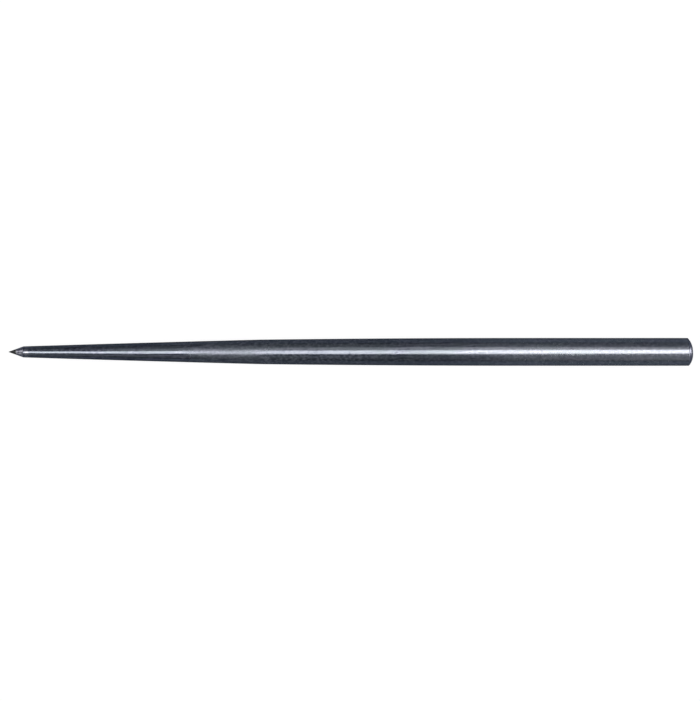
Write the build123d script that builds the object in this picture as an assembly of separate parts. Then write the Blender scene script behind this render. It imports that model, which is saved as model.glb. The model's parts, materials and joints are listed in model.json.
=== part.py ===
from build123d import *

import math
import os

# Centre punch: a slender rod of ground tool steel with a small carbide point brazed into its nose.
# Its centre line is the X axis, with the point towards -X and the struck end towards +X. The origin
# is the middle of the shank, where a collet or a hand holds it. A station is a distance along the
# punch from the very end of its point. Sizes are in millimetres and angles in degrees.

# The whole punch.
OVERALL_LENGTH = 147.5
SHANK_DIAMETER = 6.0

# The ground point, a cone that runs over the carbide, the braze and the steel alike.
POINT_ANGLE = 40.0
POINT_BASE_DIAMETER = 2.4
NOSE_RADIUS = 0.05

# The long taper. It swells very slightly between its ends, then an arc carries it to full size.
TAPER_END_STATION = 54.4
TAPER_END_DIAMETER = 5.3
TAPER_SWELL = 0.036
SHANK_STATION = 111.4

# The struck end, an arc round a small flat land.
CROWN_HEIGHT = 0.93
CROWN_RADIUS = 3.85
LAND_DIAMETER = 2.2

# The carbide insert and the drilled socket that it is brazed into.
INSERT_DIAMETER = 1.2
INSERT_LENGTH = 6.5
BRAZE_GAP = 0.05
BRAZE_BED = 0.1
DRILL_POINT_ANGLE = 118.0

# Rounding of the two outer corners of the steel.
POINT_BASE_ROUNDING = 0.3
CROWN_ROUNDING = 0.3

SHANK_RADIUS = SHANK_DIAMETER / 2
POINT_BASE_RADIUS = POINT_BASE_DIAMETER / 2
TAPER_END_RADIUS = TAPER_END_DIAMETER / 2
INSERT_RADIUS = INSERT_DIAMETER / 2
SOCKET_RADIUS = INSERT_RADIUS + BRAZE_GAP
SOCKET_STATION = INSERT_LENGTH + BRAZE_BED
SOCKET_POINT_STATION = SOCKET_STATION + SOCKET_RADIUS / math.tan(math.radians(DRILL_POINT_ANGLE / 2))
CROWN_STATION = OVERALL_LENGTH - CROWN_HEIGHT
ORIGIN_STATION = (SHANK_STATION + CROWN_STATION) / 2

HALF_POINT = math.radians(POINT_ANGLE / 2)
# Where the cone would come to nothing if its end were not rounded. It is just off the punch.
SHARP_STATION = NOSE_RADIUS - NOSE_RADIUS / math.sin(HALF_POINT)


def at(station, radius=0.0):
    """Outline point at a station and a distance from the centre line."""
    return (station - ORIGIN_STATION, radius)


def on_cone(radius):
    """Outline point where the ground point reaches this radius."""
    return at(SHARP_STATION + radius / math.tan(HALF_POINT), radius)


def rounded(profile, corner, radius):
    """Profile with the corner at an outline point rounded."""
    return fillet(profile.vertices().sort_by_distance(corner)[0], radius)


def turned(profile):
    """Solid swept by a profile about the centre line."""
    return revolve(profile, Axis.X)


def punch_body():
    """Steel body: nose, long taper, shank, crowned end and the blind socket for the insert."""
    mouth = on_cone(SOCKET_RADIUS)
    point_base = on_cone(POINT_BASE_RADIUS)
    taper_end = at(TAPER_END_STATION, TAPER_END_RADIUS)
    shank_start = at(SHANK_STATION, SHANK_RADIUS)
    crown_edge = at(CROWN_STATION, SHANK_RADIUS)
    land_edge = at(OVERALL_LENGTH, LAND_DIAMETER / 2)
    outside = [
        Line(mouth, point_base),
        SagittaArc(point_base, taper_end, TAPER_SWELL),
        TangentArc(shank_start, taper_end, tangent=(-1, 0)),
        Line(shank_start, crown_edge),
        RadiusArc(crown_edge, land_edge, CROWN_RADIUS),
        Line(land_edge, at(OVERALL_LENGTH)),
    ]
    socket = [
        Line(at(OVERALL_LENGTH), at(SOCKET_POINT_STATION)),
        Line(at(SOCKET_POINT_STATION), at(SOCKET_STATION, SOCKET_RADIUS)),
        Line(at(SOCKET_STATION, SOCKET_RADIUS), mouth),
    ]
    profile = make_face(outside + socket)
    profile = rounded(profile, point_base, POINT_BASE_ROUNDING)
    profile = rounded(profile, crown_edge, CROWN_ROUNDING)
    return turned(profile)


def carbide_tip():
    """Carbide insert: a plain pin with a flat inner end, ground to the point outside the socket."""
    nose_end = at(0)
    nose_edge = on_cone(NOSE_RADIUS * math.cos(HALF_POINT))
    rim = on_cone(INSERT_RADIUS)
    nose = RadiusArc(nose_end, nose_edge, NOSE_RADIUS)
    pin = Polyline(nose_edge, rim, at(INSERT_LENGTH, INSERT_RADIUS), at(INSERT_LENGTH), nose_end)
    return turned(make_face([nose, pin]))


def braze_filler():
    """Braze between insert and socket: a thin sleeve, a bed under the insert and the drill point."""
    outer_rim = on_cone(SOCKET_RADIUS)
    inner_rim = on_cone(INSERT_RADIUS)
    socket_wall = Polyline(outer_rim, at(SOCKET_STATION, SOCKET_RADIUS), at(SOCKET_POINT_STATION))
    bed = Line(at(SOCKET_POINT_STATION), at(INSERT_LENGTH))
    insert_wall = Polyline(at(INSERT_LENGTH), at(INSERT_LENGTH, INSERT_RADIUS), inner_rim)
    return turned(make_face([Line(inner_rim, outer_rim), socket_wall, bed, insert_wall]))


NODES = {
    "punch_body": punch_body,
    "carbide_tip": carbide_tip,
    "braze_filler": braze_filler,
}

os.makedirs("parts", exist_ok=True)
for name, build in NODES.items():
    export_step(build(), f"parts/{name}.step")
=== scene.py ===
import json
import math

import bmesh
import bpy
from mathutils import Matrix, Vector


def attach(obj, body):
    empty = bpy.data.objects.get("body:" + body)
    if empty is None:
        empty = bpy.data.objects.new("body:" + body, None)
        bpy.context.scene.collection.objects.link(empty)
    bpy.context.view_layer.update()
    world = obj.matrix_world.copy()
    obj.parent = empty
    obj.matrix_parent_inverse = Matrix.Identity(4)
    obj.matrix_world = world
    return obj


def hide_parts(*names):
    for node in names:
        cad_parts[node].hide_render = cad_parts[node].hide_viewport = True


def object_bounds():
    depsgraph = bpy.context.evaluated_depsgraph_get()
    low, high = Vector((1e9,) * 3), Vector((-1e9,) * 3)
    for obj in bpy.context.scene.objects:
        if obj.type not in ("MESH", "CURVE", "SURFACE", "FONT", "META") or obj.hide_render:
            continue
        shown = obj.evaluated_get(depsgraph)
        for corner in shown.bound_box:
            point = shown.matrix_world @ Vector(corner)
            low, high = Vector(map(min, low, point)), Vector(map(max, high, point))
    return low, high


# Centre punch, seen from straight above as it lies on a pale table. Lengths of the punch are given in
# millimetres and turned into metres by MM. A station is a distance along the punch from the very end
# of its point; angles round the punch are measured from +Y towards +Z.

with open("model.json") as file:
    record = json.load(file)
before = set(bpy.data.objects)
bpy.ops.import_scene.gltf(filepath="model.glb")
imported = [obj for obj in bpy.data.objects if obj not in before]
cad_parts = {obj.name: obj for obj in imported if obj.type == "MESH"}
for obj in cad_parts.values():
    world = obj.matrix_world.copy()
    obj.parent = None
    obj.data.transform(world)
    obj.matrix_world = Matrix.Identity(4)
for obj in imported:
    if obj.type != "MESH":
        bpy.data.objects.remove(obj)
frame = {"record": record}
cad_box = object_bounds()

MM = 0.001

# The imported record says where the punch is: its ends and the radius of its shank.
MOUNTS = {mount["name"]: mount for mount in frame["record"]["mounts"]}
POINT_X = MOUNTS["point"]["pos_m"][0]
STRUCK_X = MOUNTS["struck_face"]["pos_m"][0]
OVERALL = (STRUCK_X - POINT_X) / MM
SHANK_RADIUS = MOUNTS["shank"]["dims"]["r_mm"]

# Ground point.
HALF_POINT = math.radians(20.0)
POINT_BASE_RADIUS = 1.2
NOSE_RADIUS = 0.05
SHARP_STATION = NOSE_RADIUS - NOSE_RADIUS / math.sin(HALF_POINT)

# Long taper, and the arc that carries it to full size.
TAPER_END = 54.4
TAPER_END_RADIUS = 2.65
TAPER_SWELL = 0.036
SHANK_START = 111.4

# Struck end.
CROWN_HEIGHT = 0.93
CROWN_RADIUS = 3.85
LAND_RADIUS = 1.1
CROWN_START = OVERALL - CROWN_HEIGHT

# Carbide insert, its socket and the braze between them. The hair tells the wall of the socket from the
# cone just outside its mouth.
INSERT_RADIUS = 0.6
INSERT_LENGTH = 6.5
SOCKET_RADIUS = 0.65
SOCKET_DEPTH = 6.6
SOCKET_POINT = SOCKET_DEPTH + SOCKET_RADIUS / math.tan(math.radians(59))
HAIR = 0.001

# Both corners of the outline are a little rounded: over how much of the radius, and how far along.
POINT_CORNER = 0.03
CROWN_CORNER = 0.1
CORNER_REACH = 0.4

# Flats that hand grinding left on the point: middle angle in degrees and relative depth. They fade out
# over the last stretch before the taper.
POINT_FLATS = (
    (108, 0.045), (76, 0.03), (52, 0.05), (20, 0.03), (-15, 0.04),
    (-52, 0.03), (-95, 0.045), (-130, 0.03), (-170, 0.04), (148, 0.03),
)
FLATS_FADE = 0.5

# The struck end was ground a little out of square. The tilt comes in over a short band before the crown.
END_TILT = math.tan(math.radians(2.6))
TILT_BAND = 0.6

# Points round each ring of the steel and of the small insert and braze, steps along the rounded end, and
# the least angle between two faces that shows as an edge.
BODY_AROUND = 160
INSERT_AROUND = 80
NOSE_STEPS = 4
EDGE_ANGLE = math.radians(35)

# Where the long steel's finishes are, as stations. The shank's finish comes in between its two. Each of
# the others comes in between its first two and fades between its last two.
SHANK_FINISH = (84, 115)
SCUFFED_STRETCH = (34, 44, 62, 104)
DULLED_STRETCH = (36, 42, 52, 60)
BURNISHED_STRETCH = (3.2, 3.8, 3.9, 4.8)

# Colours of the bare metal on the taper, on the shank and on the burnished ring.
TAPER_DARK = (0.21, 0.225, 0.275, 1)
TAPER_PALE = (0.47, 0.48, 0.56, 1)
TAPER_TINT = (0.31, 0.36, 0.37, 1)
TAPER_SCUFFED = (0.355, 0.375, 0.40, 1)
SHANK_DARK = (0.40, 0.415, 0.465, 1)
SHANK_PALE = (0.67, 0.68, 0.75, 1)
SHANK_TINT = (0.50, 0.56, 0.57, 1)
BURNISHED = (0.62, 0.62, 0.67, 1)

# The room that the steel reflects: its brightness at a height that runs from 0 straight down, through
# 0.5 at the horizon, to 1 straight up, and the blue tint of its light.
ROOM_LEVELS = ((0.0, 0.08), (0.28, 0.11), (0.46, 0.12), (0.60, 0.06), (0.74, 0.055), (0.85, 0.09))
ROOM_TINT = (0.74, 0.86, 1.10)

# Radius in metres of the table and of the dome over it, and the light that each gives of its own.
STAGE_RADIUS = 3.0
TABLE_GLOW = 0.92
DOME_GLOW = 0.95

# The camera looks straight down from this height in metres, over a place this many millimetres from the
# middle of the punch, and the punch fills this share of the picture's width.
CAMERA_HEIGHT = 0.7
CAMERA_X = -0.13
CAMERA_Y = 0.3
PUNCH_SHARE = 0.977


def cone_radius(station):
    """Radius of the ground point at a station."""
    return (station - SHARP_STATION) * math.tan(HALF_POINT)


def cone_station(radius):
    """Station where the ground point has a radius."""
    return SHARP_STATION + radius / math.tan(HALF_POINT)


POINT_BASE = cone_station(POINT_BASE_RADIUS)


def long_radius(station):
    """Radius of the taper, the arc behind it and the shank, without the point or the crown."""
    if station >= SHANK_START:
        return SHANK_RADIUS
    if station >= TAPER_END:
        left = (SHANK_START - station) / (SHANK_START - TAPER_END)
        return SHANK_RADIUS - (SHANK_RADIUS - TAPER_END_RADIUS) * left ** 2
    share = (station - POINT_BASE) / (TAPER_END - POINT_BASE)
    rise = (TAPER_END_RADIUS - POINT_BASE_RADIUS) * share
    return POINT_BASE_RADIUS + rise + 4 * TAPER_SWELL * share * (1 - share)


def crown_centre():
    """Station and radius of the centre of the crown's arc."""
    a = Vector((CROWN_START, SHANK_RADIUS))
    b = Vector((OVERALL, LAND_RADIUS))
    chord = b - a
    reach = math.sqrt(CROWN_RADIUS ** 2 - (chord.length / 2) ** 2)
    inward = Vector((chord.y, -chord.x)).normalized()
    return (a + b) / 2 + inward * reach


CROWN_CENTRE = crown_centre()


def crown_radius(station):
    """Radius of the crown at a station."""
    along = station - CROWN_CENTRE.x
    return CROWN_CENTRE.y + math.sqrt(CROWN_RADIUS ** 2 - along ** 2)


def soft_min(a, b, softness):
    """The smaller of two numbers, with a rounded changeover."""
    gap = max(softness - abs(a - b), 0.0) / softness
    return min(a, b) - gap * gap * softness / 4


def body_radius(station):
    """Radius of the steel at a station, with both corners a little rounded."""
    radius = long_radius(station)
    if station < POINT_BASE + CORNER_REACH:
        radius = soft_min(cone_radius(station), radius, POINT_CORNER)
    if station > CROWN_START - CORNER_REACH:
        radius = soft_min(crown_radius(station), radius, CROWN_CORNER)
    return radius


def spread(start, end, steps):
    """Evenly spaced numbers from start up to, but not including, end."""
    return [start + (end - start) * i / steps for i in range(steps)]


def point_flats(station, angle):
    """Share of the round radius that the ground flats leave at an angle round the point."""
    fade = min(max((POINT_BASE - station) / FLATS_FADE, 0.0), 1.0)
    share = 1.0
    for middle, depth in POINT_FLATS:
        off = math.cos(angle - math.radians(middle))
        if off > 0:
            share = min(share, (1 - depth * fade) / off)
    return share


def end_tilt(station):
    """How much of the struck end's slight tilt a station has."""
    return min(max((station - CROWN_START) / TILT_BAND + 1.0, 0.0), 1.0)


def turned_ring(bm, station, radius, around, relief):
    """Ring of points at a station, or the single point that it comes down to on the axis."""
    if radius == 0:
        return [bm.verts.new((POINT_X + station * MM, 0, 0))]
    ring = []
    for i in range(around):
        angle = 2 * math.pi * i / around
        share, shift = relief(station, radius, angle) if relief else (1.0, 0.0)
        y = radius * share * math.cos(angle)
        z = radius * share * math.sin(angle)
        ring.append(bm.verts.new((POINT_X + (station + shift) * MM, y * MM, z * MM)))
    return ring


def lathe(name, outline, around, relief=None):
    """Closed solid turned about the X axis.

    The outline starts and ends on the axis, and runs with the solid on its right, so every face looks
    outwards. A relief gives each point a share of its radius and a shift along the punch.
    """
    bm = bmesh.new()
    rings = [turned_ring(bm, station, radius, around, relief) for station, radius in outline]

    # Beside a single point two corners of a face are the same one, which leaves a triangle.
    for near, far in zip(rings, rings[1:]):
        for i in range(around):
            j = (i + 1) % around
            corners = [near[i % len(near)], near[j % len(near)], far[j % len(far)], far[i % len(far)]]
            bm.faces.new(list(dict.fromkeys(corners)))
    mesh = bpy.data.meshes.new(name)
    bm.to_mesh(mesh)
    bm.free()
    mesh.shade_smooth()
    mesh.set_sharp_from_angle(angle=EDGE_ANGLE)
    piece = bpy.data.objects.new(name, mesh)
    bpy.context.collection.objects.link(piece)
    return piece


def in_socket(station, radius):
    """Whether a place on the steel is inside its socket."""
    return radius < SOCKET_RADIUS + HAIR and station < OVERALL / 2


def body_relief(station, radius, angle):
    """Hand-ground flats on the point and the slight tilt of the struck end."""
    if in_socket(station, radius):
        return 1.0, 0.0
    return point_flats(station, angle), -END_TILT * end_tilt(station) * radius * math.cos(angle)


def make_body():
    """The steel body, with its blind socket."""
    mouth = cone_station(SOCKET_RADIUS)

    # Where each run of rings starts and how many it has. They are closest at the two corners.
    runs = (
        (mouth + 0.01, 16), (POINT_BASE - 0.2, 16), (POINT_BASE + 0.3, 110), (TAPER_END, 80),
        (SHANK_START, 50), (CROWN_START - 0.7, 26), (CROWN_START + 0.25, 16), (OVERALL, 0),
    )
    outline = [(SOCKET_POINT, 0), (SOCKET_DEPTH, SOCKET_RADIUS), (mouth, SOCKET_RADIUS)]
    for (start, rings), (end, _) in zip(runs, runs[1:]):
        outline += [(station, body_radius(station)) for station in spread(start, end, rings)]
    outline += [(OVERALL, LAND_RADIUS * share) for share in (1.0, 0.75, 0.5, 0.25)]
    outline.append((OVERALL, 0))
    return lathe("ground_body", outline, BODY_AROUND, body_relief)


def make_tip():
    """The carbide insert, from its rounded end to the flat inside the socket."""
    outline = [(0, 0)]
    for i in range(1, NOSE_STEPS + 1):
        tilt = math.pi / 2 - (math.pi / 2 - HALF_POINT) * i / NOSE_STEPS
        outline.append((NOSE_RADIUS * (1 - math.sin(tilt)), NOSE_RADIUS * math.cos(tilt)))
    rim = cone_station(INSERT_RADIUS)
    outline += [(station, cone_radius(station)) for station in spread(2 * NOSE_RADIUS, rim, 12)]
    outline += [(rim, INSERT_RADIUS), (INSERT_LENGTH, INSERT_RADIUS), (INSERT_LENGTH, 0)]
    return lathe("carbide_point", outline, INSERT_AROUND)


def make_braze():
    """The braze: a sleeve round the insert and a bed that fills the drill point."""
    inner = (cone_station(INSERT_RADIUS), INSERT_RADIUS)
    outer = (cone_station(SOCKET_RADIUS), SOCKET_RADIUS)
    outline = [(INSERT_LENGTH, 0), (INSERT_LENGTH, INSERT_RADIUS), inner, outer]
    outline += [(SOCKET_DEPTH, SOCKET_RADIUS), (SOCKET_POINT, 0)]
    return lathe("braze_ring", outline, INSERT_AROUND)


class Tree:
    """Short names for building a shader node tree."""

    def __init__(self, name):
        self.material = bpy.data.materials.new(name)
        self.material.use_nodes = True
        self.nodes = self.material.node_tree.nodes
        self.links = self.material.node_tree.links
        self.shader = self.nodes["Principled BSDF"]

    def add(self, kind, inputs, output=0, **settings):
        """Adds a node, sets or links its inputs, and gives one of its outputs."""
        node = self.nodes.new(kind)
        for key, value in settings.items():
            setattr(node, key, value)
        for key, value in inputs.items():
            if isinstance(value, bpy.types.NodeSocket):
                self.links.new(value, node.inputs[key])
            else:
                node.inputs[key].default_value = value
        return node.outputs[output]

    def place(self):
        """Place on the surface, in the row frame, in metres."""
        return self.add("ShaderNodeTexCoord", {}, output="Object")

    def scaled(self, vector, scale):
        """A vector with each of its parts scaled."""
        return self.add("ShaderNodeMapping", {"Vector": vector, "Scale": scale})

    def noise(self, vector, detail):
        """Noise around 0.5, with features of about the size of the vector's unit."""
        inputs = {"Vector": vector, "Scale": 1.0, "Detail": detail}
        return self.add("ShaderNodeTexNoise", inputs, output="Fac")

    def remap(self, value, low, high, to_low, to_high, smooth=False):
        """Carries a value from one range to another, and stops it at the ends."""
        inputs = {"Value": value, "From Min": low, "From Max": high, "To Min": to_low, "To Max": to_high}
        kind = "SMOOTHSTEP" if smooth else "LINEAR"
        return self.add("ShaderNodeMapRange", inputs, interpolation_type=kind)

    def mix(self, share, a, b):
        """From number a at share 0 to number b at share 1."""
        return self.add("ShaderNodeMix", {0: share, 2: a, 3: b}, data_type="FLOAT")

    def mix_colour(self, share, a, b):
        """From colour a at share 0 to colour b at share 1."""
        return self.add("ShaderNodeMix", {0: share, 6: a, 7: b}, output=2, data_type="RGBA")

    def math(self, operation, a, b):
        """The outcome of an operation on two numbers."""
        return self.add("ShaderNodeMath", {0: a, 1: b}, operation=operation)

    def bump(self, height, distance, normal=None):
        """Relief from a height between 0 and 1 and its depth in metres, on top of another relief."""
        inputs = {"Height": height, "Distance": distance, "Strength": 1.0}
        if normal is not None:
            inputs["Normal"] = normal
        return self.add("ShaderNodeBump", inputs)

    def finish(self, **inputs):
        """Sets or links inputs of the surface, with _ for each space in their names."""
        for key, value in inputs.items():
            socket = self.shader.inputs[key.replace("_", " ")]
            if isinstance(value, bpy.types.NodeSocket):
                self.links.new(value, socket)
            else:
                socket.default_value = value
        return self.material


def speckle(tree, along, across, detail=3.0):
    """Noise with features of one length along the punch and one width across it, in millimetres."""
    scale = (1 / (along * MM), 1 / (across * MM), 1 / (across * MM))
    return tree.noise(tree.scaled(tree.place(), scale), detail)


def streaks(tree, width, reach, twist):
    """Noise drawn out along the punch and, by a twist in radians per metre, slightly round it."""
    x = tree.add("ShaderNodeSeparateXYZ", {0: tree.place()}, output="X")
    turn = {"Vector": tree.place(), "Angle": tree.math("MULTIPLY", x, twist)}
    turned = tree.add("ShaderNodeVectorRotate", turn, rotation_type="X_AXIS")
    scale = (1 / (reach * MM), 1 / (width * MM), 1 / (width * MM))
    return tree.noise(tree.scaled(turned, scale), detail=3.0)


def zone(tree, start, end):
    """Goes smoothly from 0 to 1 between two stations."""
    x = tree.add("ShaderNodeSeparateXYZ", {0: tree.place()}, output="X")
    return tree.remap(x, POINT_X + start * MM, POINT_X + end * MM, 0.0, 1.0, smooth=True)


def stretch(tree, start, full, fading, end):
    """Rises from 0 to 1 between the first two stations and falls back between the last two."""
    fall = tree.math("SUBTRACT", 1.0, zone(tree, fading, end))
    return tree.math("MULTIPLY", zone(tree, start, full), fall)


def long_colour(tree, shank, scuffed, lay, grain, patches):
    """Blue-grey steel, darker along the taper, with a faint stain in patches."""
    burnished = stretch(tree, *BURNISHED_STRETCH)
    mottle = tree.mix(tree.mix(scuffed, 0.35, 0.6), lay, grain)
    tone = tree.remap(mottle, 0.38, 0.62, 0.0, 1.0)
    dark = tree.mix_colour(shank, TAPER_DARK, SHANK_DARK)
    pale = tree.mix_colour(shank, TAPER_PALE, SHANK_PALE)
    tint = tree.mix_colour(shank, TAPER_TINT, SHANK_TINT)
    colour = tree.mix_colour(tone, dark, pale)
    colour = tree.mix_colour(tree.remap(patches, 0.4, 0.6, 0.0, 0.5), colour, tint)
    colour = tree.mix_colour(tree.math("MULTIPLY", scuffed, 0.25), colour, TAPER_SCUFFED)
    return tree.mix_colour(burnished, colour, BURNISHED)


def long_roughness(tree, shank, dulled, grinding, grain, patches):
    """Brightest along the taper, dull where it was scuffed, uneven where it was ground."""
    ground = tree.remap(grinding, 0.38, 0.62, 0.20, 0.27)
    polished = tree.remap(grain, 0.42, 0.62, 0.155, 0.205)
    roughness = tree.mix(dulled, tree.mix(shank, polished, ground), 0.34)
    return tree.math("ADD", roughness, tree.remap(patches, 0.3, 0.7, -0.02, 0.02))


def long_normal(tree, shank, scuffed, lay):
    """Slight waves under the lay of the grinding, and scuffs on the middle of the taper."""
    normal = tree.bump(speckle(tree, 0.63, 0.77, detail=2.0), tree.mix(shank, 2e-6, 4e-6))
    normal = tree.bump(lay, tree.mix(shank, 4e-6, 0.8e-6), normal)
    scuffs = streaks(tree, 0.45, 4.5, 60.0)
    return tree.bump(scuffs, tree.math("MULTIPLY", scuffed, 11e-6), normal)


def long_steel():
    """Taper and shank: polished along the taper, scuffed behind it, ground round the shank."""
    tree = Tree("taper_and_shank")
    shank = zone(tree, *SHANK_FINISH)
    scuffed = stretch(tree, *SCUFFED_STRETCH)
    dulled = stretch(tree, *DULLED_STRETCH)
    grinding = tree.mix(0.65, speckle(tree, 0.18, 2.5), speckle(tree, 0.8, 0.6))
    patches = speckle(tree, 6.7, 2.0, detail=2.0)
    lay = tree.mix(tree.math("MULTIPLY", shank, 0.75), streaks(tree, 0.4, 6.0, 25.0), grinding)
    grain = speckle(tree, 0.6, 0.5)
    colour = long_colour(tree, shank, scuffed, lay, grain, patches)
    roughness = long_roughness(tree, shank, dulled, grinding, grain, patches)
    normal = long_normal(tree, shank, scuffed, lay)
    haze = tree.mix(shank, tree.mix(scuffed, 0.08, 0.22), 0.10)
    metallic = tree.math("SUBTRACT", 1.0, tree.remap(grain, 0.46, 0.64, 0.0, haze))
    return tree.finish(Base_Color=colour, Metallic=metallic, Roughness=roughness, Normal=normal)


def cone_steel():
    """Bare ground steel of the point, with fine lines round it and bright and dull spots."""
    tree = Tree("ground_point")
    spots = speckle(tree, 0.55, 0.55)
    tone = tree.remap(spots, 0.40, 0.60, 0.0, 1.0)
    colour = tree.mix_colour(tone, (0.25, 0.24, 0.31, 1), (0.90, 0.89, 0.96, 1))
    roughness = tree.remap(spots, 0.3, 0.7, 0.26, 0.38)
    normal = tree.bump(speckle(tree, 0.12, 1.0), 6e-6)
    return tree.finish(Base_Color=colour, Metallic=1.0, Roughness=roughness, Normal=normal)


def grained_metal(name, size, dark, pale, smoothest, roughest, depth):
    """Metal with a grain, sized in millimetres, that shows in its colour, gloss and relief."""
    tree = Tree(name)
    grain = speckle(tree, size, size)
    colour = tree.mix_colour(grain, dark, pale)
    roughness = tree.remap(grain, 0.3, 0.7, smoothest, roughest)
    normal = tree.bump(grain, depth)
    return tree.finish(Base_Color=colour, Metallic=1.0, Roughness=roughness, Normal=normal)


def end_steel():
    """Crown and land of the struck end."""
    dark = (0.50, 0.50, 0.60, 1)
    pale = (0.66, 0.66, 0.76, 1)
    return grained_metal("crowned_end", 0.4, dark, pale, 0.26, 0.34, 6e-6)


def carbide():
    """Diamond-ground carbide: neutral, dark and fine-grained."""
    dark = (0.09, 0.09, 0.087, 1)
    pale = (0.15, 0.15, 0.145, 1)
    return grained_metal("carbide", 0.11, dark, pale, 0.38, 0.5, 2e-6)


def braze():
    """Silver braze, ground flush."""
    dark = (0.42, 0.40, 0.37, 1)
    pale = (0.56, 0.54, 0.49, 1)
    return grained_metal("braze", 0.14, dark, pale, 0.3, 0.45, 2e-6)


def paint_body(body):
    """Gives the steel its three finishes, by where each face lies on the punch."""
    for material in (long_steel(), cone_steel(), end_steel()):
        body.data.materials.append(material)
    for face in body.data.polygons:
        station = (face.center.x - POINT_X) / MM
        off_axis = math.hypot(face.center.y, face.center.z) / MM
        if station < POINT_BASE or in_socket(station, off_axis):
            face.material_index = 1
        elif station > CROWN_START:
            face.material_index = 2


def dress(piece, node, slot, *materials):
    """Puts a piece in the place of its CAD node."""
    for material in materials:
        piece.data.materials.append(material)
    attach(piece, "root")
    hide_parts(node)


def backdrop_material(glow):
    """Pale surface that gives most of its own light, so that shadows on it stay faint."""
    tree = Tree("backdrop")
    grey = (0.2, 0.2, 0.2, 1)
    white = (1, 1, 1, 1)
    return tree.finish(Base_Color=grey, Roughness=0.9, Emission_Color=white, Emission_Strength=glow)


def stage_piece(name, bm, glow):
    """Part of the surroundings, at the height of the table, that doesn't show in the steel."""
    mesh = bpy.data.meshes.new(name)
    bm.to_mesh(mesh)
    bm.free()
    mesh.materials.append(backdrop_material(glow))
    thing = bpy.data.objects.new(name, mesh)
    thing.location = (0, 0, cad_box[0].z)
    thing.visible_glossy = False
    thing.visible_diffuse = False
    bpy.context.collection.objects.link(thing)


def make_stage():
    """Round table under the punch and a pale dome over it."""
    table = bmesh.new()
    bmesh.ops.create_circle(table, cap_ends=True, segments=96, radius=STAGE_RADIUS)
    stage_piece("table", table, TABLE_GLOW)
    dome = bmesh.new()
    bmesh.ops.create_uvsphere(dome, u_segments=96, v_segments=48, radius=STAGE_RADIUS)
    below = [vert for vert in dome.verts if vert.co.z < -0.01]
    bmesh.ops.delete(dome, geom=below, context="VERTS")
    stage_piece("dome", dome, DOME_GLOW)


def panel(name, target, direction, distance, length, width, brightness, along=(1, 0, 0)):
    """Soft box that faces a target from a direction. Brightness is what a mirror would show of it."""
    lamp = bpy.data.lights.new(name, "AREA")
    lamp.shape = "RECTANGLE"
    lamp.size = length
    lamp.size_y = width
    lamp.energy = brightness * math.pi * length * width
    back = Vector(direction).normalized()
    side = back.cross(Vector(along)).normalized()
    turn = Matrix((side.cross(back), side, back)).transposed()
    thing = bpy.data.objects.new(name, lamp)
    thing.matrix_world = Matrix.Translation(target + back * distance) @ turn.to_4x4()
    thing.visible_camera = False
    bpy.context.collection.objects.link(thing)


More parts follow.
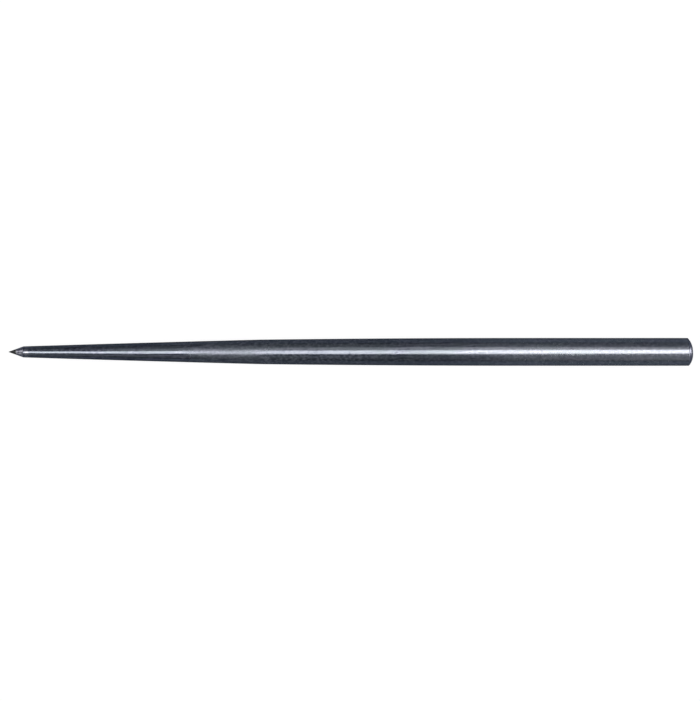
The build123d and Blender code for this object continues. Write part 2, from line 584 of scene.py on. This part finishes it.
def make_lights(middle):
    """A long soft box overhead, and weaker panels that shape the edges of its reflection.

    The far side of the punch is +Y and the near side -Y.
    """
    panel("key", middle, (0, -0.049, 1), 1.0, 1.3, 0.46, 1.95, along=(1, 0.44, 0))

    # Seen along the far side of the taper, then along the near side of the taper and of the shank.
    far_middle = middle + Vector((0.03, 0, 0))
    glow_middle = middle + Vector((-0.02, 0, 0))
    taper_middle = middle + Vector((-0.42, 0, 0))
    shank_middle = middle + Vector((0.43, 0, 0))
    panel("far_skirt", far_middle, (0, 0.40, 0.92), 1.1, 0.40, 0.60, 0.38)
    panel("far_glow", glow_middle, (0, 0.82, 0.57), 1.2, 0.35, 0.80, 0.07)
    panel("near_skirt", taper_middle, (0, -0.81, 0.59), 1.2, 0.8, 0.75, 0.08)
    panel("shank_skirt", shank_middle, (0, -0.75, 0.66), 1.2, 0.6, 1.15, 0.13)

    # Seen in the ground point and in the crown of the struck end.
    panel("point_panel", middle, (-0.66, 0.47, 0.59), 1.1, 0.45, 0.45, 0.9, along=(0, 1, 0))
    panel("point_fill", middle, (-0.68, -0.1, 0.73), 1.2, 1.4, 0.45, 0.33, along=(0, 1, 0))
    panel("end_panel", middle, (0.73, -0.1, 0.67), 1.1, 0.9, 1.0, 0.9, along=(0, 1, 0))

    # A small bright card that lies on the table some way off the struck end, facing up.
    card = Vector((STRUCK_X + 0.054, 0.0012, cad_box[0].z + 0.0001))
    panel("table_card", card, (0, 0, -1), 0.0, 0.09, 0.0035, 2.4)


def make_world():
    """Dim room that the steel reflects, darkest above the horizon."""
    world = bpy.data.worlds.new("room")
    world.use_nodes = True
    nodes = world.node_tree.nodes
    links = world.node_tree.links
    direction = nodes.new("ShaderNodeTexCoord")
    split = nodes.new("ShaderNodeSeparateXYZ")
    height = nodes.new("ShaderNodeMapRange")
    height.inputs["From Min"].default_value = -1.0
    ramp = nodes.new("ShaderNodeValToRGB")
    stops = ramp.color_ramp.elements
    stops.remove(stops[0])
    stops[0].position = ROOM_LEVELS[0][0]
    for place, _ in ROOM_LEVELS[1:]:
        stops.new(place)
    for stop, (_, level) in zip(stops, ROOM_LEVELS):
        stop.color = (*(level * share for share in ROOM_TINT), 1)
    links.new(direction.outputs["Generated"], split.inputs[0])
    links.new(split.outputs["Z"], height.inputs["Value"])
    links.new(height.outputs[0], ramp.inputs["Fac"])
    links.new(ramp.outputs["Color"], nodes["Background"].inputs["Color"])
    bpy.context.scene.world = world


def make_camera(middle):
    """Camera straight above the punch, with its length across the picture."""
    camera = bpy.data.cameras.new("camera")
    camera.sensor_fit = "HORIZONTAL"
    camera.lens = camera.sensor_width * CAMERA_HEIGHT * PUNCH_SHARE / (OVERALL * MM)
    thing = bpy.data.objects.new("camera", camera)
    thing.location = (middle.x + CAMERA_X * MM, middle.y + CAMERA_Y * MM, CAMERA_HEIGHT)
    bpy.context.collection.objects.link(thing)
    bpy.context.scene.camera = thing


body = make_body()
paint_body(body)
dress(body, "punch_body", "ground_steel")
dress(make_tip(), "carbide_tip", "carbide", carbide())
dress(make_braze(), "braze_filler", "braze", braze())

middle = (cad_box[0] + cad_box[1]) / 2
make_stage()
make_lights(middle)
make_world()
make_camera(middle)
bpy.context.scene.view_settings.view_transform = "Standard"
